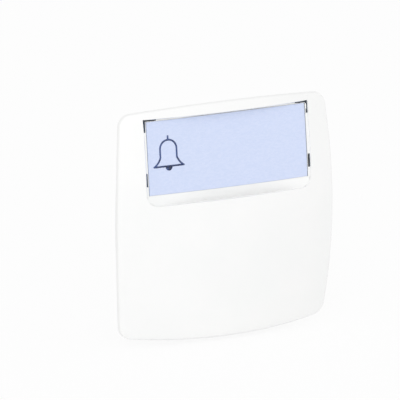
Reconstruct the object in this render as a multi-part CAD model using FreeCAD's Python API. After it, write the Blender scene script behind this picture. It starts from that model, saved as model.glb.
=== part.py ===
import FreeCAD, Part
import math
import os

# A wall bell push. A square, pillow-shaped press plate hangs on a hinge pin along its top and
# rocks towards the wall when its lower half is pressed. A clear window in its upper half covers
# a name label with a bell symbol. Behind the plate a shallow base holds a sprung plunger, whose
# contact bridge joins two fixed contacts, and the terminals for the bell wires.
# The origin is on the wall, behind the middle of the plate. +X is right, +Z is up, and the
# front faces -Y. "out" is the distance from the wall towards the viewer. Units are millimetres.

V = FreeCAD.Vector

# Press plate
plate_size = 63.0
side_radius = 255.0
corner_radius = 3.6
front_height = 15.0
crown_across = 104.0
crown_upright = 165.0
shell = 1.2
front_edge_radius = 0.6
skirt_inset = 2.0
skirt_wall = 1.2
skirt_corner_radius = 3.0
skirt_overlap = 0.6

# Window, label and symbol
window_half = 24.05
window_height = 22.9
window_top_gap = 2.9
window_corner_radius = 3.0
window_edge = 0.9
window_gap = 0.08
pocket_floor = 1.2
pocket_wall = 1.35
label_side_gap = 1.1
label_top_gap = 0.75
label_foot_gap = 2.95
label_thickness = 0.25
print_thickness = 0.05
label_gap = 0.05
label_end_play = 0.2
bell_side_gap = 1.65
bell_drop = 5.11
bell_foot = 4.17
bell_body = 2.32
bell_waist = 2.3
bell_height = 6.84
bell_stem = 0.9
bell_stroke = 0.45
clapper_radius = 0.95

# Snap slots of the window
slot_edge = 0.425
slot_width = 0.65
upper_slot_drop = 3.4
lower_slot_drop = 14.1
lower_slot_length = 3.5
slot_arm = 3.8
slot_arm_width = 0.5
slot_relief = 1.3
leg_gap = 0.05
upper_barb_length = 1.6
barb_depth = 0.35
barb_height = 0.6

# Base
base_inset = 4.7
base_corner_radius = 3.0
base_wall = 1.4
floor = 2.0
base_rim = 3.2
upper_screw_gap = 3.6
lower_screw_gap = 0.4
screw_hole_radius = 1.9
screw_head_radius = 3.4
screw_seat = 0.8
cable_chamber_gap = 1.5
cable_hole_radius = 4.2
grommet_bore_radius = 3.0
grommet_flange = 1.0
grommet_lip = 0.8

# Hinge
press_angle = 2.4
pin_radius = 1.0
ear_radius = 2.0
ear_floor_gap = 0.5
ear_wall_gap = 0.3
ear_side_gap = 0.9
ear_width = 2.4
lug_wall_gap = 3.0
lug_width = 2.8
lug_radius = 2.0
pin_running_gap = 0.05

# Contact chamber and plunger
plunger_z = -8.0
chamber_gap = 0.9
chamber_wall = 1.4
lid = 1.0
guide_collar = 0.5
collar_wall = 1.2
stem_half = 1.8
stem_gap = 0.07
stem_crown = 9.0
head_room = 0.2
flange_half_x = 3.6
flange_half_z = 3.0
flange = 0.8
flange_gap = 0.1
stub_half = 1.15
stub_tail = 0.7
pusher_radius = 2.2
pusher_gap = 0.1
rib = 1.0
rib_low = -20.0
rib_reach = 15.0

# Contacts
strip = 0.6
strip_pad = 0.6
strip_half_width = 2.0
strip_tail = 1.1
strip_gap = 0.1
contact_x = 6.8
contact_radius = 1.4
contact_height = 0.6
moving_contact_radius = 1.3
moving_contact_height = 0.7
contact_rest = 0.05
rivet_radius = 0.6
bridge = 0.6
bridge_tail = 0.3
bridge_end_gap = 1.1
bridge_half_width = 1.8
clip = 0.5
clip_half = 2.6

# Return spring
spring_mean_radius = 2.1
spring_wire_radius = 0.22
spring_turns = 4.0
spring_pin_radius = 1.3
spring_pin_height = 0.9

# Terminals
terminal_gap = 1.1
terminal_half = 3.4
terminal_height = 3.6
wire_bore_radius = 1.1
wire_bore_rise = 1.5
clamp_screw_radius = 1.3
clamp_head_radius = 2.2
clamp_head_height = 0.9
clamp_head_lift = 0.2
clamp_tip_depth = 1.4
nest_wall = 1.0
nest_gap = 0.1
nest_height = 3.2
wire_hole_radius = 1.3

# Lid screws
lid_screw_x = 8.0
lid_screw_offset = 1.6
lid_boss_radius = 2.2
lid_screw_radius = 0.8
lid_screw_length = 5.0
lid_head_radius = 1.5
lid_head_height = 0.8
lid_head_recess = 0.4
pilot_gap = 0.02
pilot_extra_depth = 0.5
screw_slot_width = 0.45
screw_slot_depth = 0.4

# Catches that hold the plate against its spring
catch_stop_gap = 2.5
catch_wall_gap = 2.65
catch_front_gap = 0.25
catch_width = 6.0
catch_thickness = 1.5
catch_side_gap = 0.3
catch_bar = 0.9
catch_gap = 0.1
catch_post = 0.8
nose_height = 1.0
nose_length = 1.35
hook_arm = 1.2
hook_clearance = 0.35
sill_clearance = 0.9

# Stops
stop_side_gap = 2.9
stop_foot_gap = 2.4
stop_post_radius = 1.5
pad_radius = 2.5
pad_height = 2.45
pad_spigot_radius = 1.0
pad_spigot_depth = 1.0
stop_gap = 0.1

# Cutting solids reach this far past what they cut
cut_margin = 5.0

# Places that follow from the sizes
plate_half = plate_size / 2
base_half = plate_half - base_inset
base_inner = base_half - base_wall
rim_out = floor + base_rim
skirt_half = plate_half - skirt_inset
skirt_back = rim_out - skirt_overlap
above_front = front_height + cut_margin


def inner_wall_z(x):
    """Height of the inner face of the base's bowed top wall, at x."""
    return base_inner - x * x / (2 * side_radius)


lug_x = base_inner - lug_wall_gap - lug_width / 2
ear_x = lug_x - lug_width / 2 - ear_side_gap - ear_width / 2
pin_out = floor + ear_floor_gap + ear_radius
pin_z = inner_wall_z(ear_x + ear_width / 2) - ear_wall_gap - ear_radius


def travel(z):
    """Travel towards the wall of a point of the plate at height z, plate fully pressed."""
    return (pin_z - z) * math.radians(press_angle)


def dome_out(x, z):
    """Height of the plate's front above the wall."""
    return front_height - x * x / (2 * crown_across) - z * z / (2 * crown_upright)


window_high = plate_half - window_top_gap
window_low = window_high - window_height
window_mid = (window_low + window_high) / 2
slot_x = window_half - slot_edge
upper_slot_low = window_high - upper_slot_drop
lower_slot_high = window_high - lower_slot_drop
lower_slot_low = lower_slot_high - lower_slot_length

label_half = window_half - label_side_gap
label_low = window_low + label_foot_gap
label_high = window_high - label_top_gap
label_out = dome_out(window_half, window_mid) - window_edge
label_lean = math.degrees(math.asin(window_mid / crown_upright))
label_recess = label_thickness + print_thickness
tray_back = label_out - label_recess - pocket_floor
bell_x = bell_foot + bell_side_gap - label_half
bell_base = label_high - bell_drop - bell_height

bridge_half_length = contact_x + moving_contact_radius + bridge_tail
chamber_half_x = bridge_half_length + bridge_end_gap + chamber_wall
chamber_half_z = flange_half_z + chamber_gap + chamber_wall
strip_start = contact_x - contact_radius - strip_tail
terminal_x = chamber_half_x + terminal_gap + terminal_half
cable_z = plunger_z + chamber_half_z + cable_chamber_gap + cable_hole_radius + grommet_flange
upper_screw_z = base_inner - upper_screw_gap - screw_head_radius
lower_screw_z = lower_screw_gap + screw_head_radius - base_inner

strip_out = floor + strip_pad
strip_top = strip_out + strip
fixed_face = strip_top + contact_height
moving_face = fixed_face + travel(plunger_z) + contact_rest
bridge_out = moving_face + moving_contact_height
bridge_top = bridge_out + bridge
clip_out = bridge_out - clip
flange_top = bridge_top + flange
lid_out = flange_top + flange_gap
lid_top = lid_out + lid
lid_seat = lid_top - lid_head_recess
collar_top = lid_top + guide_collar
stem_top = collar_top + travel(plunger_z) + head_room
pusher_out = stem_top + pusher_gap
rib_out = pusher_out + pusher_gap

stop_x = base_inner - stop_side_gap - pad_radius
stop_z = stop_foot_gap + pad_radius - base_inner
pad_top = floor + pad_height
stop_post_out = pad_top + travel(stop_z) + stop_gap

catch_x = stop_x - pad_radius - catch_stop_gap - catch_width / 2
catch_z = catch_wall_gap + catch_thickness / 2 - base_inner
front_over_catch = dome_out(catch_x + catch_width / 2, catch_z) - shell - travel(catch_z)
catch_top = front_over_catch - catch_front_gap
catch_bar_out = catch_top - catch_bar
nose_top = catch_bar_out - catch_gap
nose_out = nose_top - nose_height
catch_sill = nose_out - travel(catch_z) - sill_clearance


# Helpers: solids placed by x, out and z

def out_box(x0, x1, out0, out1, z0, z1):
    return Part.makeBox(x1 - x0, out1 - out0, z1 - z0, V(x0, -out1, z0))


def out_rod(x, z, radius, out0, out1):
    return Part.makeCylinder(radius, out1 - out0, V(x, -out0, z), V(0, -1, 0))


def out_cone(x, z, radius0, radius1, out0, out1):
    return Part.makeCone(radius0, radius1, out1 - out0, V(x, -out0, z), V(0, -1, 0))


def cross_rod(x0, x1, out, z, radius):
    return Part.makeCylinder(radius, x1 - x0, V(x0, -out, z), V(1, 0, 0))


def up_rod(x, out, z0, z1, radius):
    return Part.makeCylinder(radius, z1 - z0, V(x, -out, z0), V(0, 0, 1))


def side_box(side, x0, x1, out0, out1, z0, z1):
    """A box on the left (side -1) or right (side 1), with x measured from the middle."""
    low, high = sorted((side * x0, side * x1))
    return out_box(low, high, out0, out1, z0, z1)


def fused(first, *others):
    return first.multiFuse(list(others)).removeSplitter()


def extruded(edges, out0, out1):
    """Prism from out0 to out1 of a closed outline drawn at out = 0."""
    face = Part.Face(Part.Wire(Part.__sortEdges__(edges)))
    face.translate(V(0, -out0, 0))
    return face.extrude(V(0, out0 - out1, 0))


def bowed_square(half, bow_radius, corner, out0, out1):
    """Square with four bowed sides, each tangent to its round corners."""
    back = bow_radius - half
    reach = bow_radius - corner
    centre = (math.sqrt(2 * reach * reach - back * back) - back) / 2
    run = V(centre + back, 0, centre).normalize()
    touch = V(-back, 0, 0) + run * bow_radius
    corner_mid = V(centre, 0, centre) + V(1, 0, 1).normalize() * corner
    side = Part.Arc(V(touch.x, 0, -touch.z), V(half, 0, 0), touch).toShape()
    bend = Part.Arc(touch, corner_mid, V(touch.z, 0, touch.x)).toShape()
    edges = []
    for quarter in range(4):
        for edge in (side, bend):
            turned = edge.copy()
            turned.rotate(V(0, 0, 0), V(0, 1, 0), -90 * quarter)
            edges.append(turned)
    return extruded(edges, out0, out1)


def dome_body(depth):
    """Everything behind the plate's front, moved back by depth."""
    reach = plate_half + cut_margin
    across = crown_across - depth
    centre_out = front_height - crown_across
    edge_out = centre_out + math.sqrt(across * across - reach * reach)
    low_out = -front_height
    apex = V(0, -(centre_out + across), 0)
    left, right = V(-reach, -edge_out, 0), V(reach, -edge_out, 0)
    low_left, low_right = V(-reach, -low_out, 0), V(reach, -low_out, 0)
    edges = [Part.Arc(left, apex, right).toShape()]
    for start, end in ((right, low_right), (low_right, low_left), (low_left, left)):
        edges.append(Part.LineSegment(start, end).toShape())
    face = Part.Face(Part.Wire(edges))
    axis_point = V(0, crown_upright - front_height, 0)
    swing = math.degrees(math.asin(1.3 * reach / crown_upright))
    face.rotate(axis_point, V(1, 0, 0), -swing)
    return face.revolve(axis_point, V(1, 0, 0), 2 * swing)


def round_footed(half, low, high, corner, out0, out1):
    """Upright rectangle whose two lower corners are round."""
    bend = corner * math.sqrt(0.5)
    top_left, top_right = V(-half, 0, high), V(half, 0, high)
    foot_left, foot_right = V(-half, 0, low + corner), V(half, 0, low + corner)
    toe_left, toe_right = V(corner - half, 0, low), V(half - corner, 0, low)
    mid_left = V(corner - half - bend, 0, low + corner - bend)
    mid_right = V(half - corner + bend, 0, low + corner - bend)
    edges = [
        Part.LineSegment(top_right, top_left).toShape(),
        Part.LineSegment(top_left, foot_left).toShape(),
        Part.Arc(foot_left, mid_left, toe_left).toShape(),
        Part.LineSegment(toe_left, toe_right).toShape(),
        Part.Arc(toe_right, mid_right, foot_right).toShape(),
        Part.LineSegment(foot_right, top_right).toShape(),
    ]
    return extruded(edges, out0, out1)


def leaned(shape):
    """Turn a solid drawn upright on the label's plane so that it leans with the front."""
    shape.rotate(V(0, -label_out, window_mid), V(1, 0, 0), -label_lean)
    return shape


def screw_slot(x, z, top, length):
    """Driver slot cut into the top of a screw head."""
    half = screw_slot_width / 2
    return out_box(x - length, x + length, top - screw_slot_depth, top + 1.0, z - half, z + half)


# Press plate and what it carries

def slots():
    """The four slots behind the window's ends, upper ones with an arm along the pocket's top."""
    half = slot_width / 2
    low_out = tray_back - slot_relief
    top = window_high - label_gap
    cutters = []
    for side in (-1, 1):
        inner, outer = slot_x - half, slot_x + half
        arm_start = outer - slot_arm
        cutters.append(side_box(side, inner, outer, low_out, label_out, upper_slot_low, top))
        cutters.append(side_box(side, arm_start, outer, low_out, label_out, top - slot_arm_width, top))
        cutters.append(side_box(side, inner, outer, low_out, label_out, lower_slot_low, lower_slot_high))
    return [leaned(cutter) for cutter in cutters]


def window_legs():
    """Legs that fill the slots; their barbs hook behind the pocket floor."""
    inner = slot_x - slot_width / 2 + leg_gap
    outer = slot_x + slot_width / 2 - leg_gap
    arm_start = slot_x + slot_width / 2 - slot_arm + leg_gap
    upper_low, upper_high = upper_slot_low + leg_gap, window_high - label_gap - leg_gap
    lower_low, lower_high = lower_slot_low + leg_gap, lower_slot_high - leg_gap
    arm_low = upper_high - slot_arm_width + 2 * leg_gap
    barb_top = tray_back - label_gap
    leg_low = barb_top - barb_height
    root = label_out + window_edge / 3
    legs = []
    for side in (-1, 1):
        for low, high in ((upper_low, upper_high), (lower_low, lower_high)):
            legs.append(leaned(side_box(side, inner, outer, leg_low, root, low, high)))
        legs.append(leaned(side_box(side, arm_start, outer, leg_low, root, arm_low, upper_high)))
        for low, high in ((upper_low, upper_low + upper_barb_length), (lower_low, lower_high)):
            legs.append(leaned(side_box(side, inner, outer + barb_depth, leg_low, barb_top, low, high)))
    return legs


def make_cover_plate():
    plate = bowed_square(plate_half, side_radius, corner_radius, 0, above_front)
    plate = plate.common(dome_body(0)).cut(dome_body(shell))
    front = max(plate.Faces, key=lambda face: -face.CenterOfMass.y)
    plate = plate.makeFillet(front_edge_radius, front.OuterWire.Edges)

    inside = dome_body(shell / 2)
    skirt = bowed_square(skirt_half, side_radius - skirt_inset, skirt_corner_radius,
                         skirt_back, above_front)
    skirt = skirt.cut(bowed_square(skirt_half - skirt_wall, side_radius - skirt_inset - skirt_wall,
                                   skirt_corner_radius - skirt_wall, 0, above_front))
    tray = leaned(out_box(-window_half - pocket_wall, window_half + pocket_wall, tray_back, above_front,
                          window_low - pocket_wall, skirt_half))
    posts = [skirt, tray, out_rod(0, plunger_z, pusher_radius, pusher_out, above_front)]
    posts.append(out_box(-rib / 2, rib / 2, rib_out, above_front, rib_low, window_low))
    posts.append(out_box(-rib_reach, rib_reach, rib_out, above_front,
                         plunger_z - rib / 2, plunger_z + rib / 2))
    hook_face = catch_z + catch_thickness / 2 + hook_clearance
    hook_half = catch_width / 2 - catch_post - 2 * catch_side_gap
    for side in (-1, 1):
        ear = side_box(side, ear_x - ear_width / 2, ear_x + ear_width / 2,
                       pin_out, label_out, pin_z - ear_radius, pin_z + ear_radius)
        round_end = cross_rod(side * ear_x - ear_width / 2, side * ear_x + ear_width / 2,
                              pin_out, pin_z, ear_radius)
        arm = side_box(side, catch_x - hook_half, catch_x + hook_half,
                       nose_out, above_front, hook_face, hook_face + hook_arm)
        nose = side_box(side, catch_x - hook_half, catch_x + hook_half,
                        nose_out, nose_top, hook_face - nose_length, hook_face)
        stop_post = out_rod(side * stop_x, stop_z, stop_post_radius, stop_post_out, above_front)
        posts += [ear, round_end, arm, nose, stop_post]
    plate = fused(plate, *[post.common(inside) for post in posts])

    pocket = leaned(round_footed(window_half, window_low, window_high,
                                 window_corner_radius, label_out, above_front))
    recess = leaned(out_box(-label_half - label_end_play, label_half + label_end_play,
                            label_out - label_recess, above_front,
                            label_low - label_gap, label_high + label_gap))
    pin_bore = cross_rod(-lug_x, lug_x, pin_out, pin_z, pin_radius + pin_running_gap)
    return plate.cut([pocket, recess, pin_bore] + slots())


def make_label_window():
    lens = leaned(round_footed(window_half - window_gap, window_low + window_gap,
                               window_high - window_gap, window_corner_radius - window_gap,
                               label_out, above_front))
    return fused(lens.common(dome_body(0)), *window_legs())


def make_name_label():
    return leaned(out_box(-label_half, label_half, label_out - label_recess,
                          label_out - print_thickness, label_low, label_high))


def bell_outline():
    """Middle line of the bell's stroke: straight foot, flared sides, round crown."""
    waist = bell_base + bell_waist
    crown = bell_base + bell_height - bell_body
    flare_x = (bell_foot + bell_body) / 2 - bell_waist / 12
    flare_z = bell_base + bell_waist / 2 - bell_waist / 12
    edges = [Part.LineSegment(V(-bell_foot, 0, bell_base), V(bell_foot, 0, bell_base)).toShape()]
    for side in (-1, 1):
        foot, flare = V(side * bell_foot, 0, bell_base), V(side * flare_x, 0, flare_z)
        hip, shoulder = V(side * bell_body, 0, waist), V(side * bell_body, 0, crown)
        edges.append(Part.Arc(foot, flare, hip).toShape())
        edges.append(Part.LineSegment(hip, shoulder).toShape())
    edges.append(Part.Arc(V(-bell_body, 0, crown), V(0, 0, crown + bell_body),
                          V(bell_body, 0, crown)).toShape())
    return Part.Wire(Part.__sortEdges__(edges))


def make_bell_symbol():
    half = bell_stroke / 2
    outline = bell_outline()
    outer = Part.Face(outline.makeOffset2D(half, 0))
    inner = Part.Face(outline.makeOffset2D(-half, 2))
    ring = outer.cut(inner).extrude(V(0, -print_thickness, 0))
    crown_top = bell_base + bell_height
    stem = out_box(-half, half, 0, print_thickness, crown_top, crown_top + half + bell_stem)
    clapper = out_rod(0, bell_base - half, clapper_radius, 0, print_thickness)
    below = out_box(-clapper_radius, clapper_radius, 0, print_thickness,
                    bell_base - half - clapper_radius, bell_base)
    symbol = fused(ring, stem, clapper.common(below))
    symbol.translate(V(bell_x, print_thickness - label_out, 0))
    return leaned(symbol)


# Base and hinge

def make_base_housing():
    base = bowed_square(base_half, side_radius, base_corner_radius, 0, rim_out)
    hollow = bowed_square(base_inner, side_radius, base_corner_radius - base_wall, floor, above_front)
    base = base.cut(hollow)

    low, high = plunger_z - chamber_half_z, plunger_z + chamber_half_z
    chamber = out_box(-chamber_half_x, chamber_half_x, floor, lid_out, low, high)
    chamber = chamber.cut(out_box(chamber_wall - chamber_half_x, chamber_half_x - chamber_wall,
                                  floor, lid_out, low + chamber_wall, high - chamber_wall))
    solids = [chamber, out_rod(0, plunger_z, spring_pin_radius, floor / 2, floor + spring_pin_height)]
    cuts = []
    strip_end = terminal_x + terminal_half
    pad_half = strip_half_width + strip_gap
    for side in (-1, 1):
        solids.append(side_box(side, strip_start, strip_end, floor / 2, strip_out,
                               plunger_z - pad_half, plunger_z + pad_half))
        cuts.append(side_box(side, chamber_half_x - 1.5 * chamber_wall, chamber_half_x + chamber_wall / 2,
                             strip_out, strip_top + strip_gap,
                             plunger_z - pad_half, plunger_z + pad_half))
        solids.append(terminal_nest(side))
        solids.append(hinge_lug(side))
        solids.append(catch_frame(side))
        boss_x, boss_z = lid_screw_place(side)
        solids.append(out_rod(boss_x, boss_z, lid_boss_radius, floor / 2, lid_out))
        cuts.append(out_rod(boss_x, boss_z, lid_screw_radius + pilot_gap,
                            lid_seat - lid_screw_length - pilot_extra_depth, lid_out))
        cuts.append(out_rod(side * stop_x, stop_z, pad_spigot_radius, floor - pad_spigot_depth, floor))
    for z in (upper_screw_z, lower_screw_z):
        cuts.append(out_rod(0, z, screw_hole_radius, 0, floor))
        cuts.append(out_cone(0, z, screw_hole_radius, screw_head_radius, screw_seat, floor))
    cuts.append(out_rod(0, cable_z, cable_hole_radius, 0, floor))
    cuts.append(cross_rod(-lug_x - lug_width / 2, lug_x + lug_width / 2, pin_out, pin_z, pin_radius))
    return fused(base, *solids).cut(cuts)


def lid_screw_place(side):
    """Both screws are above the chamber, left and right of its middle."""
    return side * lid_screw_x, plunger_z + chamber_half_z + lid_screw_offset


def hinge_lug(side):
    """Bearing for the pin, joined to the base's top wall."""
    low, high = side * lug_x - lug_width / 2, side * lug_x + lug_width / 2
    root_z = inner_wall_z(lug_x + lug_width / 2) + base_wall / 2
    post = out_box(low, high, floor / 2, pin_out, pin_z - lug_radius, root_z)
    return fused(post, cross_rod(low, high, pin_out, pin_z, lug_radius))


def catch_frame(side):
    """Post with a window: the plate's hook reaches in under its top bar."""
    half = catch_width / 2
    low, high = catch_z - catch_thickness / 2, catch_z + catch_thickness / 2
    frame = side_box(side, catch_x - half, catch_x + half, floor / 2, catch_top, low, high)
    opening = side_box(side, catch_x - half + catch_post, catch_x + half - catch_post,
                       catch_sill, catch_bar_out, low, high)
    return frame.cut(opening)


def terminal_nest(side):
    """Walls round the terminal, open towards the chamber, with a hole for the wire above."""
    inner, outer = terminal_x - terminal_half, terminal_x + terminal_half + nest_gap
    low, high = plunger_z - terminal_half - nest_gap, plunger_z + terminal_half + nest_gap
    top = strip_out + nest_height
    nest = side_box(side, inner, outer + nest_wall, floor / 2, top, low - nest_wall, high + nest_wall)
    nest = nest.cut(side_box(side, inner, outer, floor, top, low, high))
    return nest.cut(up_rod(side * terminal_x, strip_top + wire_bore_rise, high, high + nest_wall,
                           wire_hole_radius))


def make_hinge_pin():
    return cross_rod(-lug_x - lug_width / 2, lug_x + lug_width / 2, pin_out, pin_z, pin_radius)


def make_cable_grommet():
    neck = out_rod(0, cable_z, cable_hole_radius, 0, floor)
    lip = out_rod(0, cable_z, cable_hole_radius + grommet_flange, floor, floor + grommet_lip)
    return fused(neck, lip).cut(out_rod(0, cable_z, grommet_bore_radius, 0, floor + grommet_lip))


def make_stop_pad(side):
    pad = out_rod(side * stop_x, stop_z, pad_radius, floor, pad_top)
    return fused(pad, out_rod(side * stop_x, stop_z, pad_spigot_radius, floor - pad_spigot_depth, floor))


# Contact lid, plunger and contacts

def make_contact_lid():
    low, high = plunger_z - chamber_half_z, plunger_z + chamber_half_z
    plate = out_box(-chamber_half_x, chamber_half_x, lid_out, lid_top, low, high)
    collar_half = stem_half + stem_gap + collar_wall
    pieces = [out_box(-collar_half, collar_half, lid_out, collar_top,
                      plunger_z - collar_half, plunger_z + collar_half)]
    cuts = []
    for side in (-1, 1):
        x, z = lid_screw_place(side)
        pieces.append(out_rod(x, z, lid_boss_radius, lid_out, lid_top))
        cuts.append(out_rod(x, z, lid_screw_radius + pilot_gap, lid_out, lid_top))
        cuts.append(out_rod(x, z, lid_head_radius + pilot_gap, lid_seat, lid_top))
    guide = stem_half + stem_gap
    cuts.append(out_box(-guide, guide, lid_out, collar_top, plunger_z - guide, plunger_z + guide))
    return fused(plate, *pieces).cut(cuts)


def make_lid_screws():
    screws = []
    for side in (-1, 1):
        x, z = lid_screw_place(side)
        top = lid_seat + lid_head_height
        shank = out_rod(x, z, lid_screw_radius, lid_seat - lid_screw_length, lid_seat)
        screw = fused(shank, out_rod(x, z, lid_head_radius, lid_seat, top))
        screws.append(screw.cut(screw_slot(x, z, top, lid_head_radius)))
    return Part.makeCompound(screws)


def make_plunger():
    stem = out_box(-stem_half, stem_half, flange_top, stem_top, plunger_z - stem_half, plunger_z + stem_half)
    ball = Part.makeSphere(stem_crown, V(0, stem_crown - stem_top, plunger_z))
    stem = stem.common(ball)
    flange_plate = out_box(-flange_half_x, flange_half_x, bridge_top, flange_top,
                           plunger_z - flange_half_z, plunger_z + flange_half_z)
    stub = out_box(-stub_half, stub_half, clip_out - stub_tail, bridge_top,
                   plunger_z - stub_half, plunger_z + stub_half)
    return fused(stem, flange_plate, stub)


def square_hole_plate(half_x, half_z, out0, out1):
    """Flat metal plate on the plunger's square stub."""
    plate = out_box(-half_x, half_x, out0, out1, plunger_z - half_z, plunger_z + half_z)
    return plate.cut(out_box(-stub_half, stub_half, out0, out1,
                             plunger_z - stub_half, plunger_z + stub_half))


def make_contact_bridge():
    plate = square_hole_plate(bridge_half_length, bridge_half_width, bridge_out, bridge_top)
    return plate.cut([out_rod(side * contact_x, plunger_z, rivet_radius, bridge_out, bridge_top)
                      for side in (-1, 1)])


def make_bridge_clip():
    return square_hole_plate(clip_half, clip_half, clip_out, bridge_out)


def make_moving_contact(side):
    head = out_rod(side * contact_x, plunger_z, moving_contact_radius, moving_face, bridge_out)
    return fused(head, out_rod(side * contact_x, plunger_z, rivet_radius, bridge_out, bridge_top))


def make_contact_strip(side):
    plate = side_box(side, strip_start, terminal_x + terminal_half, strip_out, strip_top,
                     plunger_z - strip_half_width, plunger_z + strip_half_width)
    return plate.cut(out_rod(side * contact_x, plunger_z, rivet_radius, strip_out, strip_top))


def make_fixed_contact(side):
    head = out_rod(side * contact_x, plunger_z, contact_radius, strip_top, fixed_face)
    return fused(head, out_rod(side * contact_x, plunger_z, rivet_radius, strip_out, strip_top))


def make_return_spring():
    """Coil from the floor up to the clip, round the pin of the base and the plunger's stub."""
    low, high = floor + spring_wire_radius, clip_out - spring_wire_radius
    height = high - low
    helix = Part.makeHelix(height / spring_turns, height, spring_mean_radius)
    rise = math.degrees(math.atan2(height / spring_turns, 2 * math.pi * spring_mean_radius))
    quarters = [Part.makeCircle(spring_wire_radius, V(spring_mean_radius, 0, 0), V(0, 1, 0),
                                start, start + 90) for start in (0, 90, 180, 270)]
    section = Part.Wire(quarters)
    section.rotate(V(spring_mean_radius, 0, 0), V(1, 0, 0), rise)
    coil = Part.Wire(helix).makePipeShell([section], True, True)
    coil.rotate(V(0, 0, 0), V(1, 0, 0), 90)
    coil.translate(V(0, -low, plunger_z))
    return coil


# Terminals

def make_terminal(side):
    block = side_box(side, terminal_x - terminal_half, terminal_x + terminal_half,
                     strip_top, strip_top + terminal_height,
                     plunger_z - terminal_half, plunger_z + terminal_half)
    wire_bore = up_rod(side * terminal_x, strip_top + wire_bore_rise, plunger_z - terminal_half,
                       plunger_z + terminal_half, wire_bore_radius)
    screw_bore = out_rod(side * terminal_x, plunger_z, clamp_screw_radius + pilot_gap,
                         strip_top + wire_bore_rise, strip_top + terminal_height)
    return block.cut([wire_bore, screw_bore])


def make_terminal_screw(side):
    x = side * terminal_x
    block_top = strip_top + terminal_height
    head_out = block_top + clamp_head_lift
    top = head_out + clamp_head_height
    shank = out_rod(x, plunger_z, clamp_screw_radius, block_top - clamp_tip_depth, head_out)
    head = out_rod(x, plunger_z, clamp_head_radius, head_out, top)
    return fused(shank, head).cut(screw_slot(x, plunger_z, top, clamp_head_radius))


nodes = {
    "cover_plate": make_cover_plate(),
    "label_window": make_label_window(),
    "name_label": make_name_label(),
    "bell_symbol": make_bell_symbol(),
    "base_housing": make_base_housing(),
    "hinge_pin": make_hinge_pin(),
    "cable_grommet": make_cable_grommet(),
    "contact_lid": make_contact_lid(),
    "lid_screws": make_lid_screws(),
    "plunger": make_plunger(),
    "contact_bridge": make_contact_bridge(),
    "bridge_clip": make_bridge_clip(),
    "return_spring": make_return_spring(),
}
for side, word in ((-1, "left"), (1, "right")):
    nodes[word + "_moving_contact"] = make_moving_contact(side)
    nodes[word + "_fixed_contact"] = make_fixed_contact(side)
    nodes[word + "_contact_strip"] = make_contact_strip(side)
    nodes[word + "_terminal"] = make_terminal(side)
    nodes[word + "_terminal_screw"] = make_terminal_screw(side)
    nodes[word + "_stop_pad"] = make_stop_pad(side)

os.makedirs("parts", exist_ok=True)
for name, shape in nodes.items():
    shape.exportStep("parts/" + name + ".step")
    print(name, "solids", len(shape.Solids), "valid", shape.isValid(), "cm3", round(shape.Volume / 1000, 3))
print("hinge at out", round(pin_out, 3), "z", round(pin_z, 3))
print("plunger travel", round(travel(plunger_z), 4), "stem top", round(stem_top, 3))
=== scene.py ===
# %% [markdown]
# # A wall bell push, dressed for its picture
# The object is a bell push for beside a front door: a white, pillow-shaped press plate with a
# clear window near its top, a pale blue name card behind the window, and a small bell printed on
# the card. Behind the plate hide a shallow base, a sprung plunger and two pairs of contacts.
# The solids come from the maker's drawing and already have their true size and place, so this
# lesson never moves them. It gives every surface its finish, makes the few small pieces that a
# drawing leaves plain, and then sets up the floor, the light and the camera.

# %% Load the solids
import math

import bmesh
import bpy
from mathutils import Matrix, Vector


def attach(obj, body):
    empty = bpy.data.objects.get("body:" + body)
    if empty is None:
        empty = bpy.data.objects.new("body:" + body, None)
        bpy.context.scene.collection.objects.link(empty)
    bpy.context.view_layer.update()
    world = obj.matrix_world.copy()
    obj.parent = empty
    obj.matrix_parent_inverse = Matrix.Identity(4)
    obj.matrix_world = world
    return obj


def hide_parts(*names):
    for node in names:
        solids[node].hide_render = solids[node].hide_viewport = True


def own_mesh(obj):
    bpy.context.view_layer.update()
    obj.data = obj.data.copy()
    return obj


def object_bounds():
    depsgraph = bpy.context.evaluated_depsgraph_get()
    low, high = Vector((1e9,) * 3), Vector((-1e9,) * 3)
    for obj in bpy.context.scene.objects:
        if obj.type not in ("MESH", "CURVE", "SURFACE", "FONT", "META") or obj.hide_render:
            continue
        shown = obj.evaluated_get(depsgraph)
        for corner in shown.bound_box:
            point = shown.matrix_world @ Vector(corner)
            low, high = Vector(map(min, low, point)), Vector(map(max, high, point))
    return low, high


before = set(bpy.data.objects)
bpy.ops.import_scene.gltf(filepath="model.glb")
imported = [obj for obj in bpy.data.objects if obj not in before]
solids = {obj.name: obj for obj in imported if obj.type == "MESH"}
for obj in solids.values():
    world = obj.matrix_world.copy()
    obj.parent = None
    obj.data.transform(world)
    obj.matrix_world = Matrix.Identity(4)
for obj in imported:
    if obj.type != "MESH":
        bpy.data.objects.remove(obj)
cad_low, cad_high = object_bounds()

MM = 0.001
print("size in mm:", [round(side / MM, 1) for side in cad_high - cad_low])

# %% [markdown]
# ## Helpers for finishes
# A finish is a small network of nodes that ends in one shader. It could be drawn by hand in the
# editor, or painted as a picture and wrapped on. Here it is worked out from the position of each
# point in metres, because such a finish has no seams, stays sharp however near the camera comes,
# and rides along when a piece moves. Six short helpers keep every recipe easy to read: one makes
# an empty finish, one gives a cloudy pattern with grains of a stated size, three turn such a
# pattern into a range of numbers, a range of colours or small dents, and the last one dresses
# solids in a finish.

# %% A new finish and its pattern of grains
grain_detail = 3.0


def new_finish(name):
    finish = bpy.data.materials.new(name)
    finish.use_nodes = True
    return finish, finish.node_tree, finish.node_tree.nodes["Principled BSDF"]


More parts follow.
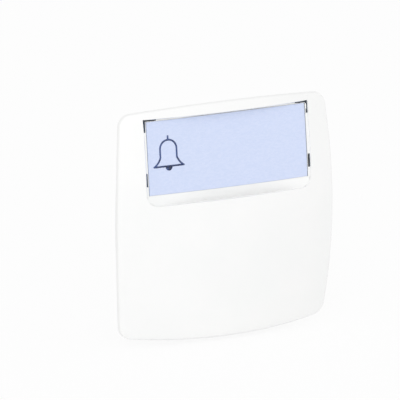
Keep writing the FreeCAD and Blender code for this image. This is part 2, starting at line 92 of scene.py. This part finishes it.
def grains(tree, size, stretch=(1, 1, 1), roughness=0.5):
    """Cloudy pattern whose grains are about size metres across, longer where stretch is above 1."""
    place = tree.nodes.new("ShaderNodeTexCoord")
    scaled = tree.nodes.new("ShaderNodeMapping")
    for axis in range(3):
        scaled.inputs["Scale"].default_value[axis] = 1 / (size * stretch[axis])
    pattern = tree.nodes.new("ShaderNodeTexNoise")
    pattern.inputs["Scale"].default_value = 1.0
    pattern.inputs["Detail"].default_value = grain_detail
    pattern.inputs["Roughness"].default_value = roughness
    tree.links.new(place.outputs["Object"], scaled.inputs["Vector"])
    tree.links.new(scaled.outputs["Vector"], pattern.inputs["Vector"])
    return pattern.outputs["Fac"]


print("a pattern of grains has", grain_detail, "finer layers")

# %% From a pattern to numbers, colours and dents
pattern_dark, pattern_bright = 0.3, 0.7


def as_number(tree, pattern, low, high, socket):
    """Feed socket with low where the pattern is dark and high where it is bright."""
    spread = tree.nodes.new("ShaderNodeMapRange")
    spread.inputs["From Min"].default_value = pattern_dark
    spread.inputs["From Max"].default_value = pattern_bright
    spread.inputs["To Min"].default_value = low
    spread.inputs["To Max"].default_value = high
    spread.interpolation_type = "SMOOTHSTEP"
    tree.links.new(pattern, spread.inputs["Value"])
    tree.links.new(spread.outputs["Result"], socket)


def as_colour(tree, pattern, dark, bright, socket):
    """Feed socket with a colour between dark and bright, both linear red, green and blue."""
    ramp = tree.nodes.new("ShaderNodeValToRGB")
    first, last = ramp.color_ramp.elements
    first.position, last.position = pattern_dark, pattern_bright
    first.color, last.color = (*dark, 1), (*bright, 1)
    ramp.color_ramp.interpolation = "EASE"
    tree.links.new(pattern, ramp.inputs["Fac"])
    tree.links.new(ramp.outputs["Color"], socket)


def as_dents(tree, pattern, depth, shader):
    """Let the pattern raise and lower the surface by depth metres, in the light only."""
    bump = tree.nodes.new("ShaderNodeBump")
    bump.inputs["Strength"].default_value = 1.0
    bump.inputs["Distance"].default_value = depth
    tree.links.new(pattern, bump.inputs["Height"])
    tree.links.new(bump.outputs["Normal"], shader.inputs["Normal"])


def dress(finish, *names):
    """Give the finish to these solids, which stay where they are."""
    for name in names:
        for holder in solids[name].material_slots:
            holder.material = finish
        print(name, "wears", finish.name)


print("a pattern is dark at", pattern_dark, "and bright at", pattern_bright)

# %% [markdown]
# ## Painted shade in the slots
# Four narrow slots in the floor of the window's pocket take the legs of the window. On the real
# push they read as dark marks at the card's corners and ends, because light that falls into such
# a slot hardly finds its way out. The walls of the slots belong to the white plate, so that shade
# is painted as a dark colour into the plate's own finish. It could be a second finish on those few
# faces, but the plate is one moulding with one finish. So the finish itself asks where each point
# lies: the card's plane leans with the pillow, the position is turned upright to match it, and
# simple bands along width, depth and height pick out the slots. The card lies in its recess with a
# little play, and the narrow gap at each end reads as a fine grey line, so a lighter painted shade
# lies there too.

# %% Number sums and bands for finishes
def sums(tree, operation, first, second):
    """One node of arithmetic; each of first and second is a socket or a plain number."""
    node = tree.nodes.new("ShaderNodeMath")
    node.operation = operation
    for place, value in enumerate((first, second)):
        if isinstance(value, (int, float)):
            node.inputs[place].default_value = value
        else:
            tree.links.new(value, node.inputs[place])
    return node.outputs["Value"]


def in_band(tree, number, low, high):
    """1 where number lies between low and high, else 0."""
    node = tree.nodes.new("ShaderNodeMath")
    node.operation = "COMPARE"
    node.inputs[1].default_value = (low + high) / 2
    node.inputs[2].default_value = (high - low) / 2
    tree.links.new(number, node.inputs[0])
    return node.outputs["Value"]


print("a band gives 1 inside and 0 outside")

# %% Where the painted shade goes: bands on the leaning plane of the card
card_middle = Vector((0, -10.428, 17.15)) * MM
card_lean = math.radians(5.966)
slot_depths = (0.01 * MM, 2.85 * MM)
slot_sides = (23.28 * MM, 23.97 * MM)
upper_slot = (8.03 * MM, 11.42 * MM)
lower_slot = (-6.17 * MM, -2.63 * MM)
arm_reach = (20.13 * MM, 23.97 * MM)
arm_heights = (10.88 * MM, 11.42 * MM)
# painted shade on the narrow gaps at the card's ends, lighter than in the slots
end_gap_depths = (0.02 * MM, 0.33 * MM)
end_gap_sides = (22.96 * MM, 23.17 * MM)
end_gap_heights = (-8.57 * MM, 10.77 * MM)
end_gap_shade_share = 0.6


def painted_shade_mask(tree):
    """Painted shade: 1 on the walls of the four slots, less in the gaps at the card's ends, 0
    elsewhere.
    """
    place = tree.nodes.new("ShaderNodeTexCoord")
    upright = tree.nodes.new("ShaderNodeMapping")
    upright.inputs["Rotation"].default_value = (card_lean, 0, 0)
    upright.inputs["Location"].default_value = -(Matrix.Rotation(card_lean, 3, "X") @ card_middle)
    parts = tree.nodes.new("ShaderNodeSeparateXYZ")
    tree.links.new(place.outputs["Object"], upright.inputs["Vector"])
    tree.links.new(upright.outputs["Vector"], parts.inputs["Vector"])
    side = sums(tree, "ABSOLUTE", parts.outputs["X"], 0.0)
    depth, height = parts.outputs["Y"], parts.outputs["Z"]
    ends = sums(tree, "ADD", in_band(tree, height, *upper_slot), in_band(tree, height, *lower_slot))
    bars = sums(tree, "MULTIPLY", in_band(tree, side, *slot_sides), ends)
    arms = sums(tree, "MULTIPLY", in_band(tree, side, *arm_reach),
                in_band(tree, height, *arm_heights))
    slots = sums(tree, "MAXIMUM", bars, arms)
    slots = sums(tree, "MULTIPLY", slots, in_band(tree, depth, *slot_depths))
    gaps = sums(tree, "MULTIPLY", in_band(tree, side, *end_gap_sides),
                in_band(tree, height, *end_gap_heights))
    gaps = sums(tree, "MULTIPLY", gaps, in_band(tree, depth, *end_gap_depths))
    return sums(tree, "MAXIMUM", slots, sums(tree, "MULTIPLY", gaps, end_gap_shade_share))


def paint_slot_shade(tree, shader, shade):
    """Paint shade into the slots: the shader's colour turns dark and its haze turns dull there."""
    inside = painted_shade_mask(tree)
    plain = shader.inputs["Base Color"].links[0].from_socket
    mixed = tree.nodes.new("ShaderNodeMix")
    mixed.data_type = "RGBA"
    tree.links.new(inside, mixed.inputs["Factor"])
    tree.links.new(plain, mixed.inputs["A"])
    mixed.inputs["B"].default_value = (*shade, 1)
    tree.links.new(mixed.outputs["Result"], shader.inputs["Base Color"])
    haze = shader.inputs["Roughness"].links[0].from_socket
    tree.links.new(sums(tree, "MAXIMUM", haze, inside), shader.inputs["Roughness"])


print("the card leans", round(math.degrees(card_lean), 2), "degrees and the slots are",
      round((slot_sides[1] - slot_sides[0]) / MM, 2), "mm wide")

# %% [markdown]
# ## The press plate: glossy white plastic
# The plate is injection moulded in a hard white plastic from a polished mould. It is not perfectly
# even: the white drifts by a hair over some centimetres, the gloss has a fine haze, and the skin
# has a barely visible ripple like the peel of an orange. A single white with a single gloss would
# look like paper, so each of these three is one slow or fine pattern.

# %% Glossy white for the press plate
# painted shade: the dark colour painted on the slot walls and the gaps at the card's ends
painted_slot_shade = (0.045, 0.11, 0.22)


def glossy_white():
    finish, tree, shader = new_finish("press_white")
    as_colour(tree, grains(tree, 18 * MM), (0.935, 0.94, 0.935), (0.955, 0.955, 0.95),
              shader.inputs["Base Color"])
    as_number(tree, grains(tree, 6 * MM), 0.29, 0.34, shader.inputs["Roughness"])
    # paints shade into the slots and the gaps at the card's ends, and makes them dull there
    paint_slot_shade(tree, shader, painted_slot_shade)
    as_dents(tree, grains(tree, 2.5 * MM), 0.0006 * MM, shader)
    shader.inputs["IOR"].default_value = 1.52
    return finish


dress(glossy_white(), "cover_plate")

# %% [markdown]
# ## The window: clear plastic
# The window is one clear moulding whose front follows the pillow of the plate and whose back is
# flat, so it bends the view of the card a little, as in real life. The shader bends light with
# the strength of acrylic. Light on its way to the card is a different matter: a renderer finds
# such paths through two bent faces only by luck, so the card would come out dark and speckled.
# Light that is caught inside the plastic and mirrored to and fro is lost in the same way. So the
# window mirrors and bends what meets it first, and for light on its way to the card and for what
# is already inside it is plainly see-through, which is nearly what thin acrylic does.

# %% Clear acrylic for the window
def clear_acrylic():
    finish, tree, shader = new_finish("clear_acrylic")
    as_colour(tree, grains(tree, 12 * MM), (0.985, 0.995, 0.99), (0.995, 1.0, 1.0),
              shader.inputs["Base Color"])
    as_number(tree, grains(tree, 2 * MM), 0.0, 0.02, shader.inputs["Roughness"])
    shader.inputs["Transmission Weight"].default_value = 1.0
    shader.inputs["IOR"].default_value = 1.49
    see_through = tree.nodes.new("ShaderNodeBsdfTransparent")
    see_through.inputs["Color"].default_value = (1, 1, 1, 1)
    path = tree.nodes.new("ShaderNodeLightPath")
    lighting = sums(tree, "MAXIMUM", path.outputs["Is Shadow Ray"], path.outputs["Is Diffuse Ray"])
    lighting = sums(tree, "MAXIMUM", lighting, path.outputs["Is Glossy Ray"])
    either = tree.nodes.new("ShaderNodeMixShader")
    tree.links.new(lighting, either.inputs["Fac"])
    tree.links.new(shader.outputs["BSDF"], either.inputs[1])
    tree.links.new(see_through.outputs["BSDF"], either.inputs[2])
    tree.links.new(either.outputs["Shader"], tree.nodes["Material Output"].inputs["Surface"])
    return finish


dress(clear_acrylic(), "label_window")

# %% [markdown]
# ## The card and its print
# The name card is pale blue with a short, soft fibre, and the bell on it is printed in a dark,
# bluish ink that sinks into the fibre and so is never quite even.

# %% Blue card and dark ink
def pale_blue_card():
    finish, tree, shader = new_finish("pale_blue_card")
    as_colour(tree, grains(tree, 0.5 * MM, stretch=(2, 1, 1)),
              (0.625, 0.705, 0.925), (0.665, 0.735, 0.945), shader.inputs["Base Color"])
    as_number(tree, grains(tree, 0.3 * MM), 0.75, 0.9, shader.inputs["Roughness"])
    as_dents(tree, grains(tree, 0.15 * MM, stretch=(3, 1, 1)), 0.004 * MM, shader)
    return finish


def dark_ink():
    finish, tree, shader = new_finish("dark_ink")
    as_colour(tree, grains(tree, 0.2 * MM), (0.015, 0.05, 0.20), (0.025, 0.065, 0.24),
              shader.inputs["Base Color"])
    as_number(tree, grains(tree, 0.4 * MM), 0.5, 0.7, shader.inputs["Roughness"])
    return finish


dress(pale_blue_card(), "name_label")
dress(dark_ink(), "bell_symbol")

# %% [markdown]
# ## The base: matt white plastic
# The base and the lid of its contact chamber come from a spark-eroded mould, which leaves an even,
# fine matt grain. The grain is a dent pattern a fifth of a millimetre wide.

# %% Matt white for the base and the lid
def matt_white():
    finish, tree, shader = new_finish("matt_white")
    as_colour(tree, grains(tree, 9 * MM), (0.78, 0.78, 0.76), (0.83, 0.83, 0.81),
              shader.inputs["Base Color"])
    as_number(tree, grains(tree, 0.6 * MM), 0.5, 0.62, shader.inputs["Roughness"])
    as_dents(tree, grains(tree, 0.2 * MM), 0.01 * MM, shader)
    return finish


dress(matt_white(), "base_housing", "contact_lid")

# %% [markdown]
# ## Dark slippery plastic and rubber
# The plunger slides, so it is made of a dark grey, waxy plastic. The grommet and the two stop pads
# are soft rubber, which is duller and takes a dusty bloom.

# %% Plunger plastic and rubber
def waxy_grey():
    finish, tree, shader = new_finish("waxy_grey")
    as_colour(tree, grains(tree, 2 * MM), (0.05, 0.055, 0.065), (0.07, 0.075, 0.085),
              shader.inputs["Base Color"])
    as_number(tree, grains(tree, 0.5 * MM), 0.32, 0.42, shader.inputs["Roughness"])
    return finish


def grey_rubber():
    finish, tree, shader = new_finish("grey_rubber")
    as_colour(tree, grains(tree, 0.8 * MM, roughness=0.7), (0.06, 0.06, 0.062), (0.10, 0.10, 0.10),
              shader.inputs["Base Color"])
    as_number(tree, grains(tree, 0.5 * MM), 0.7, 0.9, shader.inputs["Roughness"])
    as_dents(tree, grains(tree, 0.12 * MM), 0.01 * MM, shader)
    return finish


dress(waxy_grey(), "plunger")
dress(grey_rubber(), "cable_grommet", "left_stop_pad", "right_stop_pad")

# %% [markdown]
# ## Brass, steel and silver
# The strips, the bridge and the terminals are rolled brass, whose marks run along the strip. The
# hinge pin is cut from drawn steel rod, with the long fine lines of the die. Clip, spring and
# screws are zinc-plated steel with a faint cloudy bloom. The four contact faces are a silver
# alloy, brighter and smoother.

# %% The metals
metal_dents = 0.002 * MM


def metal(name, dark, bright, grain, stretch, smooth, rough):
    """Metal whose colour, gloss and dents follow grains of a stated size and stretch."""
    finish, tree, shader = new_finish(name)
    as_colour(tree, grains(tree, grain, stretch), dark, bright, shader.inputs["Base Color"])
    as_number(tree, grains(tree, grain / 2, stretch), smooth, rough, shader.inputs["Roughness"])
    as_dents(tree, grains(tree, grain / 2, stretch), metal_dents, shader)
    shader.inputs["Metallic"].default_value = 1.0
    return finish


rolled_brass = metal("rolled_brass", (0.70, 0.50, 0.20), (0.82, 0.62, 0.28),
                     grain=0.12 * MM, stretch=(20, 1, 1), smooth=0.28, rough=0.40)
zinc_steel = metal("zinc_steel", (0.55, 0.56, 0.58), (0.65, 0.65, 0.66),
                   grain=0.4 * MM, stretch=(1, 1, 1), smooth=0.28, rough=0.40)
drawn_steel = metal("drawn_steel", (0.50, 0.50, 0.51), (0.63, 0.63, 0.63),
                    grain=0.08 * MM, stretch=(40, 1, 1), smooth=0.28, rough=0.38)
silver = metal("contact_silver", (0.80, 0.79, 0.76), (0.88, 0.87, 0.84),
               grain=0.3 * MM, stretch=(1, 1, 1), smooth=0.12, rough=0.22)

dress(rolled_brass, "contact_bridge", "left_contact_strip", "right_contact_strip",
      "left_terminal", "right_terminal")
dress(zinc_steel, "bridge_clip")
dress(drawn_steel, "hinge_pin")
dress(silver, "left_moving_contact", "right_moving_contact", "left_fixed_contact",
      "right_fixed_contact")

# %% [markdown]
# ## Pieces of wire and pieces turned on a lathe
# The drawing keeps the return spring as an even coil and the screws as plain pins, which is enough
# for sizes and for motion. In the picture they are small machine parts, so they are made again
# here with the same outer form. A screw modifier or a curve with a round bevel could give a coil,
# but a mesh laid ring by ring lets the ends be ground flat. The same way of laying rings serves for
# the screws, whose radius may wind in and out.

# %% Helpers: laying rings and joining them to a skin
sharp_from = math.radians(40)


def skin(name, rings):
    """Close a row of equal rings of points to one smooth piece with a flat face at each end."""
    sides = len(rings[0])
    points = [point for ring in rings for point in ring]
    faces = [tuple(range(sides))[::-1], tuple(range(len(points) - sides, len(points)))]
    for low in range(0, len(points) - sides, sides):
        for side in range(sides):
            beside = (side + 1) % sides
            faces.append((low + side, low + beside, low + sides + beside, low + sides + side))
    mesh = bpy.data.meshes.new(name)
    mesh.from_pydata(points, [], faces)
    tidy_up = bmesh.new()
    tidy_up.from_mesh(mesh)
    bmesh.ops.recalc_face_normals(tidy_up, faces=tidy_up.faces)
    tidy_up.to_mesh(mesh)
    tidy_up.free()
    return mesh


def show(name, mesh, finish, slot, body, *stands_for):
    """Put a finished mesh in the scene as a piece that rides on a body and stands for solids."""
    mesh.polygons.foreach_set("use_smooth", [True] * len(mesh.polygons))
    mesh.set_sharp_from_angle(angle=sharp_from)
    mesh.materials.append(finish)
    piece = bpy.data.objects.new(name, mesh)
    bpy.context.scene.collection.objects.link(piece)
    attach(piece, body)
    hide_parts(*stands_for)
    print(name, "has", len(mesh.polygons), "faces and stands for", ", ".join(stands_for))
    return piece


print("edges sharper than", round(math.degrees(sharp_from)), "degrees stay sharp")

# %% [markdown]
# ## The return spring
# The spring pushes the plunger back out. It is wound from round wire, its first and last turns
# lie nearly flat against the next one, and both ends are ground level so that it stands straight.
# The wire's path climbs slowly at the ends and faster in between. Points of the wire that would
# reach past the seats are pulled back to them, which is just what the grinding wheel does.

# %% The wire's size and climb
spring_axis = Vector((0, 0, -8.0)) * MM
spring_seats = (2.0 * MM, 5.324 * MM)
coil_radius = 2.1 * MM
wire_radius = 0.22 * MM
turns = 4.0
steps_per_turn = 40
wire_sides = 12
end_climb = 0.45
flat_turns, easing_turns = 0.6, 0.4
left_after_grinding = 0.6


def climb(turn):
    """How steep the wire runs: end_climb in the end turns and 1 in the middle ones."""
    from_end = min(turn, turns - turn)
    share = min(max((from_end - flat_turns) / easing_turns, 0.0), 1.0)
    return end_climb + (1 - end_climb) * share * share * (3 - 2 * share)


heights = [0.0]
for step in range(int(turns * steps_per_turn)):
    heights.append(heights[-1] + climb((step + 0.5) / steps_per_turn))
lift = wire_radius * left_after_grinding
rise = (spring_seats[1] - spring_seats[0] - 2 * lift) / heights[-1]
heights = [spring_seats[0] + lift + height * rise for height in heights]
print("the wire climbs from", round(heights[0] / MM, 2), "to", round(heights[-1] / MM, 2), "mm")

# %% Spring
wire_rings = []
for step, height in enumerate(heights):
    angle = step / steps_per_turn * 2 * math.pi
    beside = Vector((math.cos(angle), 0, math.sin(angle)))
    ring = []
    for side in range(wire_sides):
        turned = side / wire_sides * 2 * math.pi
        reach = coil_radius + wire_radius * math.cos(turned)
        out = height + wire_radius * math.sin(turned)
        out = min(max(out, spring_seats[0]), spring_seats[1])
        ring.append(spring_axis + beside * reach + Vector((0, -out, 0)))
    wire_rings.append(ring)

coil = show("spring_coil", skin("spring_coil", wire_rings), zinc_steel, "steel", "base",
            "return_spring")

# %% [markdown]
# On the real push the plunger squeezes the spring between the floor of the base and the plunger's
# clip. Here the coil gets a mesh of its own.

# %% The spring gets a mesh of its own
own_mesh(coil)

# %% [markdown]
# ## The screws
# Two small screws hold the lid of the contact chamber and one screw clamps each wire. All are
# plain slotted screws: a turned head with its rim rounded off, a driver slot, and a thread. The
# thread is a ridge that winds round the shank, so each ring of the shank is laid with a radius
# that depends on both the height and the angle. The slot is cut with a boolean, as a saw would.

# %% Rings of a threaded shank and a rounded head
screw_sides = 40
thread_depth_share = 0.16


def turned_ring(place, out, radius_at):
    """Ring of points round an axis at place (x, z), as far out from the wall as out says."""
    ring = []
    for side in range(screw_sides):
        angle = side / screw_sides * 2 * math.pi
        radius = radius_at(angle)
        ring.append(Vector((place[0] + radius * math.cos(angle), -out,
                            place[1] + radius * math.sin(angle))))
    return ring


def thread(radius, pitch, out):
    """Radius of the shank round its circle at this height: a ridge that winds with the pitch."""
    def radius_at(angle):
        phase = (out / pitch - angle / (2 * math.pi)) % 1
        ridge = 1 - abs(2 * phase - 1)
        return radius * (1 - thread_depth_share * (1 - ridge))
    return radius_at


def even(radius):
    """The same radius all round, for rings without a thread."""
    return lambda angle: radius


print("the thread is cut", thread_depth_share, "of the shank's radius deep")

# %% One slotted screw
driver_slot_width = 0.45 * MM
driver_slot_depth = 0.4 * MM
rings_per_pitch = 8
tip_share = 0.6
rounding_share, largest_rounding = 0.35, 0.25 * MM
rounding_steps = 5
flat_share = 0.4
saw_reach = 1.2


def slotted_screw(place, tip, seat, top, shank_radius, head_radius, pitch):
    """Mesh of a screw whose axis stands at place (x, z) and whose head reaches out to top."""
    rings = [turned_ring(place, tip, even(shank_radius * tip_share))]
    count = max(int((seat - tip) / (pitch / rings_per_pitch)), 2)
    for number in range(1, count):
        out = tip + (seat - tip) * number / count
        rings.append(turned_ring(place, out, thread(shank_radius, pitch, out)))
    rings.append(turned_ring(place, seat, even(shank_radius)))
    rings.append(turned_ring(place, seat, even(head_radius)))
    rounding = min(rounding_share * (top - seat), largest_rounding)
    for part in range(rounding_steps + 1):
        angle = part / rounding_steps * math.pi / 2
        rings.append(turned_ring(place, top - rounding + rounding * math.sin(angle),
                                 even(head_radius - rounding + rounding * math.cos(angle))))
    rings.append(turned_ring(place, top, even(head_radius * flat_share)))
    screw = bpy.data.objects.new("screw_blank", skin("screw_blank", rings))
    reach, half = head_radius * saw_reach, driver_slot_width / 2
    corners = [(-reach, -half), (reach, -half), (reach, half), (-reach, half)]
    saw_rings = [[Vector((place[0] + x, -out, place[1] + z)) for x, z in corners]
                 for out in (top - driver_slot_depth, top + driver_slot_depth)]
    saw = bpy.data.objects.new("saw", skin("saw", saw_rings))
    for tool in (screw, saw):
        bpy.context.scene.collection.objects.link(tool)
    cut = screw.modifiers.new("driver_slot", "BOOLEAN")
    cut.operation, cut.solver, cut.object = "DIFFERENCE", "EXACT", saw
    modified = screw.evaluated_get(bpy.context.evaluated_depsgraph_get())
    mesh = bpy.data.meshes.new_from_object(modified)
    for tool in (screw, saw):
        bpy.data.objects.remove(tool)
    return mesh


def joined(name, meshes):
    """One mesh that holds all these meshes."""
    whole = bmesh.new()
    for mesh in meshes:
        whole.from_mesh(mesh)
    result = bpy.data.meshes.new(name)
    whole.to_mesh(result)
    whole.free()
    return result


print("the driver slot is", driver_slot_width / MM, "mm wide,", driver_slot_depth / MM, "mm deep")

# %% Lid screws and clamp screws
lid_places = [(-8.0 * MM, -1.1 * MM), (8.0 * MM, -1.1 * MM)]
lid_meshes = [slotted_screw(place, tip=2.924 * MM, seat=7.924 * MM, top=8.724 * MM,
                            shank_radius=0.8 * MM, head_radius=1.5 * MM, pitch=0.6 * MM)
              for place in lid_places]
show("slotted_lid_screws", joined("slotted_lid_screws", lid_meshes), zinc_steel, "steel", "base",
     "lid_screws")

for side, across in (("left", -15.4 * MM), ("right", 15.4 * MM)):
    clamp = slotted_screw((across, -8.0 * MM), tip=5.4 * MM, seat=7.0 * MM, top=7.9 * MM,
                          shank_radius=1.3 * MM, head_radius=2.2 * MM, pitch=0.5 * MM)
    show(side + "_clamp_screw", clamp, zinc_steel, "steel", "base", side + "_terminal_screw")

# %% [markdown]
# ## Floor
# The picture's background is plain white. A wide, pale floor just under the plate gives that, and
# it keeps a soft shadow, so that the object doesn't seem to float in nothing. To the eye most of
# the floor's tone is plain white, and the rest is left to the shadow.

# %% Pale floor
floor_gap = 1.0 * MM
floor_reach = 4.0
floor_tone = 0.95
floor_haze = 0.9
white_share = 0.9


def seen_by_eye(tree):
    """1 on the eye's own rays, mirrored or seen through plastic too, and 0 on light's rays."""
    path = tree.nodes.new("ShaderNodeLightPath")
    seen = sums(tree, "MAXIMUM", path.outputs["Is Camera Ray"], path.outputs["Is Glossy Ray"])
    return sums(tree, "MAXIMUM", seen, path.outputs["Is Transmission Ray"])


def pale_floor():
    finish, tree, shader = new_finish("pale_floor")
    shader.inputs["Base Color"].default_value = (floor_tone, floor_tone, floor_tone, 1)
    shader.inputs["Roughness"].default_value = floor_haze
    white = tree.nodes.new("ShaderNodeEmission")
    white.inputs["Color"].default_value = (1, 1, 1, 1)
    mixed = tree.nodes.new("ShaderNodeMixShader")
    tree.links.new(sums(tree, "MULTIPLY", seen_by_eye(tree), white_share), mixed.inputs["Fac"])
    tree.links.new(shader.outputs["BSDF"], mixed.inputs[1])
    tree.links.new(white.outputs["Emission"], mixed.inputs[2])
    tree.links.new(mixed.outputs["Shader"], tree.nodes["Material Output"].inputs["Surface"])
    return finish


floor_height = cad_low.z - floor_gap
corners = [(-floor_reach, -floor_reach), (floor_reach, -floor_reach),
           (floor_reach, floor_reach), (-floor_reach, floor_reach)]
floor_mesh = bpy.data.meshes.new("floor")
floor_mesh.from_pydata([(x, y, floor_height) for x, y in corners], [], [(0, 1, 2, 3)])
floor_mesh.materials.append(pale_floor())
floor = bpy.data.objects.new("floor", floor_mesh)
bpy.context.scene.collection.objects.link(floor)
print("floor at", round(floor_height / MM, 1), "mm")

# %% [markdown]
# ## Light
# Soft studio light comes from everywhere, so the world is the big source. One wide soft box stands
# near the camera, a little above it, and fills the shadows that face the viewer. Beyond the edge
# of the floor the world would look grey, so for the eye, and for mirror images and clear plastic,
# it is plain white, while the light that it sheds stays at its own level.

# %% World and soft box
def studio_world(light_level, seen_level):
    world = bpy.data.worlds.new("studio")
    world.use_nodes = True
    tree = world.node_tree
    sky = tree.nodes["Background"]
    sky.inputs["Color"].default_value = (1, 1, 1, 1)
    level = sums(tree, "MULTIPLY", seen_by_eye(tree), seen_level - light_level)
    tree.links.new(sums(tree, "ADD", level, light_level), sky.inputs["Strength"])
    bpy.context.scene.world = world
    print("world sheds", light_level, "and shows", seen_level)


studio_world(light_level=0.8, seen_level=1.0)


def soft_box(name, place, width, watts):
    lamp = bpy.data.lights.new(name, "AREA")
    lamp.shape = "SQUARE"
    lamp.size = width
    lamp.energy = watts
    holder = bpy.data.objects.new(name, lamp)
    holder.location = place
    holder.rotation_mode = "QUATERNION"
    holder.rotation_quaternion = (-Vector(place)).to_track_quat("-Z", "Y")
    holder.visible_camera = False
    bpy.context.scene.collection.objects.link(holder)
    print(name, "at", place, "watts", watts)


soft_box("key_box", place=(-0.62, -1.36, 0.66), width=1.2, watts=6.5)

# %% [markdown]
# ## Camera
# The photograph was taken from a couple of metres away with a long lens, from the left and a
# little above. The numbers below were found by laying the drawing's outline over the photograph:
# where the middle of the plate's front falls in the picture, and how many pixels a millimetre has.

# %% Camera
picture_width = 400
camera_azimuth = math.radians(-27.58)
camera_elevation = math.radians(14.71)
camera_distance = 1.9
pixels_per_mm = 3.8555
front_middle_pixel = (234.96, 221.28)
sensor_width = 36.0

away = Vector((math.sin(camera_azimuth) * math.cos(camera_elevation),
               -math.cos(camera_azimuth) * math.cos(camera_elevation),
               math.sin(camera_elevation)))
right = Vector((math.cos(camera_azimuth), math.sin(camera_azimuth), 0))
up = away.cross(right)
front_middle = Vector((0, cad_low.y, 0))
aim = (front_middle
       + right * (picture_width / 2 - front_middle_pixel[0]) / pixels_per_mm * MM
       + up * (front_middle_pixel[1] - picture_width / 2) / pixels_per_mm * MM)

eye = bpy.data.cameras.new("eye")
eye.sensor_width = sensor_width
eye.lens = sensor_width * camera_distance / (picture_width / pixels_per_mm * MM)
eye.clip_start, eye.clip_end = 0.05, 20.0
camera = bpy.data.objects.new("camera", eye)
camera.location = front_middle + away * camera_distance
camera.rotation_mode = "QUATERNION"
camera.rotation_quaternion = (aim - camera.location).to_track_quat("-Z", "Y")
bpy.context.scene.collection.objects.link(camera)
bpy.context.scene.camera = camera
bpy.context.scene.view_settings.view_transform = "Standard"
print("lens", round(eye.lens, 1), "mm")
